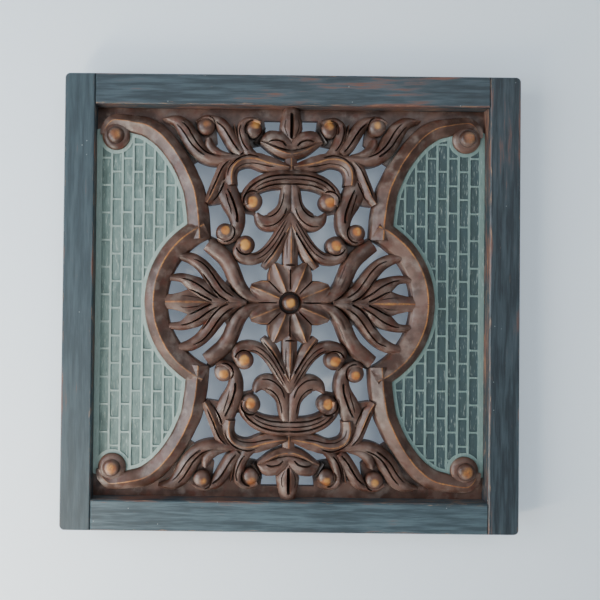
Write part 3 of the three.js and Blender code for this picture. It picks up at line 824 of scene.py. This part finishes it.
def wornPaint(name, low, high):
    # blue-grey paint dragged along the member and worn to its red-brown primer: satin with dry streaks; each
    # member's own tones hold painted light as well
    values = memberFinish[name]
    f = memberFinish
    material, tree, shader = newMaterial("draggedBlueGreyPaint_" + name)
    spot = addNode(tree, "ShaderNodeTexCoord").outputs["Object"]
    xyz = addNode(tree, "ShaderNodeSeparateXYZ", {}, {"Vector": spot}).outputs
    lengthwise = values["along"] == "Z"
    pull = (1, 1, 14) if lengthwise else (14, 1, 1)
    cross, middle, half = ((xyz["X"], (low.x + high.x) / 2, (high.x - low.x) / 2) if lengthwise
                           else (xyz["Z"], (low.z + high.z) / 2, (high.z - low.z) / 2))
    drag = grainNoise(tree, spot, 0.0045, 5, 0.6, pull)
    fineDrag = grainNoise(tree, spot, 0.0014, 3, 0.6, pull)
    blotch = grainNoise(tree, spot, 0.05, 3, 0.55, (1, 1, 2.5) if lengthwise else (2.5, 1, 1))
    colour = mixColour(tree, remap(tree, drag, 0.36, 0.66), linear(values["dark"]), linear(values["paint"]))
    fromMiddle = calc(tree, "ABSOLUTE", calc(tree, "SUBTRACT", cross, middle))
    edge = remap(tree, fromMiddle, half * 0.72, half * 1.0)
    wear = calc(tree, "ADD", calc(tree, "MULTIPLY", drag, 0.6), calc(tree, "MULTIPLY", blotch, 0.45))
    wear = calc(tree, "ADD", wear, calc(tree, "MULTIPLY", edge, 0.10))
    through = remap(tree, wear, 0.66 - 0.12 * values["wear"], 0.78 - 0.12 * values["wear"], 0, 0.8)
    colour = mixColour(tree, through, colour, linear(f["primer"]))
    bare = remap(tree, calc(tree, "ADD", calc(tree, "MULTIPLY", edge, 0.16), fineDrag), 0.70, 0.82, 0, 0.6)
    colour = mixColour(tree, bare, colour, linear(f["bareWood"]))
    flecks = addNode(tree, "ShaderNodeTexVoronoi", {"feature": "F1"}, {"Vector": spot, "Scale": 55.0})
    colour = mixColour(tree, remap(tree, flecks.outputs["Distance"], 0.055, 0.02, 0, 0.45), colour,
                       linear(f["fleck"]))
    tree.links.new(colour, shader.inputs["Base Color"])
    shader.inputs["IOR"].default_value = 1.48
    tree.links.new(remap(tree, fineDrag, 0.3, 0.7, f["roughness"] - 0.1, f["roughness"] + 0.14),
                   shader.inputs["Roughness"])
    bump = addNode(tree, "ShaderNodeBump", {}, {"Strength": 0.4, "Distance": 0.0004, "Height": drag})
    fineBump = addNode(tree, "ShaderNodeBump", {}, {"Strength": 0.25, "Distance": 0.0002, "Height": fineDrag,
                                                    "Normal": bump.outputs["Normal"]})
    tree.links.new(fineBump.outputs["Normal"], shader.inputs["Normal"])
    return material


def finishBoard(board):
    # the points wander a little as under a chisel, and the mesh goes to metres and to its place
    mesh = board.data
    mesh.materials.clear()
    mesh.materials.append(rubbedCarving())
    mesh.materials.append(sageField())
    bm = bmesh.new()
    bm.from_mesh(mesh)
    gilt = bm.verts.layers.float["gilt"]
    for v in bm.verts:
        best = 0.0
        for x, z, reach, strength in gilding["spots"]:
            far = math.hypot(abs(v.co.x) - x, abs(v.co.z) - z)
            best = max(best, strength * max(0.0, 1 - (far / reach) ** 2))
        v[gilt] = best
        if v.co.y < -10.4 and max(abs(v.co.x), abs(v.co.z)) < boardHalf - 1:
            p = v.co * 0.09
            v.co += carving["chiselWander"] * Vector((noise.noise(p), noise.noise(p + Vector((9, 3, 5))),
                                                      noise.noise(p + Vector((2, 8, 1)))))
    bmesh.ops.triangulate(bm, faces=[f for f in bm.faces if len(f.verts) > 4])
    bmesh.ops.translate(bm, verts=bm.verts, vec=(0, 0, centreZ))
    bmesh.ops.scale(bm, verts=bm.verts, vec=(mm, mm, mm))
    for f in bm.faces:
        c = f.calc_center_median()
        height, x, z = -c.y / mm, abs(c.x) / mm, abs(c.z / mm - centreZ)
        inZone = brickwork["zoneHeight"][0] < height < brickwork["zoneHeight"][1]
        inField = inZone and x > brickwork["zoneFrom"] and z < brickwork["zoneTo"]
        f.material_index = 1 if inField else 0
        f.smooth = True
    bm.to_mesh(mesh)
    bm.free()
    mesh.set_sharp_from_angle(angle=math.radians(38))


board = carvedBoard()
finishBoard(board)
board.name = "carvedBoard"
bpy.context.scene.collection.objects.link(board)
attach(board, "root")
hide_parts("carved_panel")
print("carved board:", len(board.data.polygons), "faces")

for name in ("stile_left", "stile_right", "rail_top", "rail_bottom"):
    low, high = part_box(name)
    member = nodes[name]
    paint = wornPaint(name, low, high)
    for slot in member.material_slots:
        slot.material = paint
print("frame painted")


studio = {
    "wallGap": 0.02,
    "wallGlow": 0.35,
    "wall": "#e2eaee",
    "floor": "#d9dcdc",
    "floorDrop": 0.45,
    "wallGlowColour": "#a3b4c8",
    "room": "#dfe6ea",
    "roomStrength": 0.45,
}


def flatSheet(name, width, height, place, turn):
    bm = bmesh.new()
    bmesh.ops.create_grid(bm, x_segments=1, y_segments=1, size=0.5)
    bmesh.ops.scale(bm, verts=bm.verts, vec=(width, height, 1))
    mesh = bpy.data.meshes.new(name)
    bm.transform(Matrix.Translation(place) @ turn.to_4x4())
    bm.to_mesh(mesh)
    bm.free()
    sheet = bpy.data.objects.new(name, mesh)
    bpy.context.scene.collection.objects.link(sheet)
    return sheet


def stagePlane(name, colour, seeThroughBack):
    material, tree, shader = newMaterial(name)
    shader.inputs["Base Color"].default_value = linear(colour)
    shader.inputs["Roughness"].default_value = 0.9
    if seeThroughBack:
        # a faint glow of its own, and seen from behind it lets the view through to the panel's back
        shader.inputs["Emission Color"].default_value = linear(studio["wallGlowColour"])
        shader.inputs["Emission Strength"].default_value = studio["wallGlow"]
        back = addNode(tree, "ShaderNodeNewGeometry").outputs["Backfacing"]
        clear = addNode(tree, "ShaderNodeBsdfTransparent").outputs[0]
        mix = addNode(tree, "ShaderNodeMixShader", {}, {0: back, 1: shader.outputs[0], 2: clear})
        output = [n for n in tree.nodes if n.type == "OUTPUT_MATERIAL"][0]
        tree.links.new(mix.outputs[0], output.inputs["Surface"])
    return material


objectLow, objectHigh = (Vector(corner) for corner in cadBounds)
middle = (objectLow + objectHigh) / 2
wall = flatSheet("wall", 6, 6, Vector((middle.x, objectHigh.y + studio["wallGap"], middle.z)),
                 Matrix.Rotation(math.radians(90), 3, "X"))
wall.data.materials.append(stagePlane("paleWall", studio["wall"], True))
floorHeight = objectLow.z - studio["floorDrop"]
floor = flatSheet("floor", 8, 8, Vector((middle.x, middle.y, floorHeight)), Matrix.Identity(3))
floor.data.materials.append(stagePlane("paleFloor", studio["floor"], False))

lights = {
    # name: place, size, watts, colour
    "keyLowLeft": ((-0.75, -0.55, -1.15), 0.6, 62, "#fff1de"),
    "skyLeft": ((-1.5, -0.9, -0.2), 1.2, 40, "#dfeaf5"),
    "fillHigh": ((0.5, -1.8, 0.6), 1.2, 10, "#e8eef5"),
}
for name, (place, size, watts, colour) in lights.items():
    lamp = bpy.data.lights.new(name, "AREA")
    lamp.shape = "SQUARE"
    lamp.size = size
    lamp.energy = watts
    lamp.color = linear(colour)[:3]
    holder = bpy.data.objects.new(name, lamp)
    bpy.context.scene.collection.objects.link(holder)
    holder.location = place
    holder.rotation_euler = (middle - Vector(place)).to_track_quat("-Z", "Y").to_euler()

world = bpy.data.worlds.new("paleRoom")
bpy.context.scene.world = world
world.use_nodes = True
world.node_tree.nodes["Background"].inputs["Color"].default_value = linear(studio["room"])
world.node_tree.nodes["Background"].inputs["Strength"].default_value = studio["roomStrength"]

camera = {
    "place": (-0.108, -0.745, -0.28),
    "tilt": 0.58, "roll": -0.65, "yaw": 0.02,     # degrees off square to the panel
    "lens": 33.0,
    "shift": (0.1525, -0.006),
}
cameraData = bpy.data.cameras.new("camera")
cameraData.lens = camera["lens"]
cameraData.sensor_width = 36
cameraData.shift_x, cameraData.shift_y = camera["shift"]
cameraObject = bpy.data.objects.new("camera", cameraData)
bpy.context.scene.collection.objects.link(cameraObject)
cameraObject.location = camera["place"]
cameraObject.rotation_euler = [math.radians(a) for a in (90 + camera["tilt"], camera["roll"], camera["yaw"])]
bpy.context.scene.camera = cameraObject
print("lights and camera set")
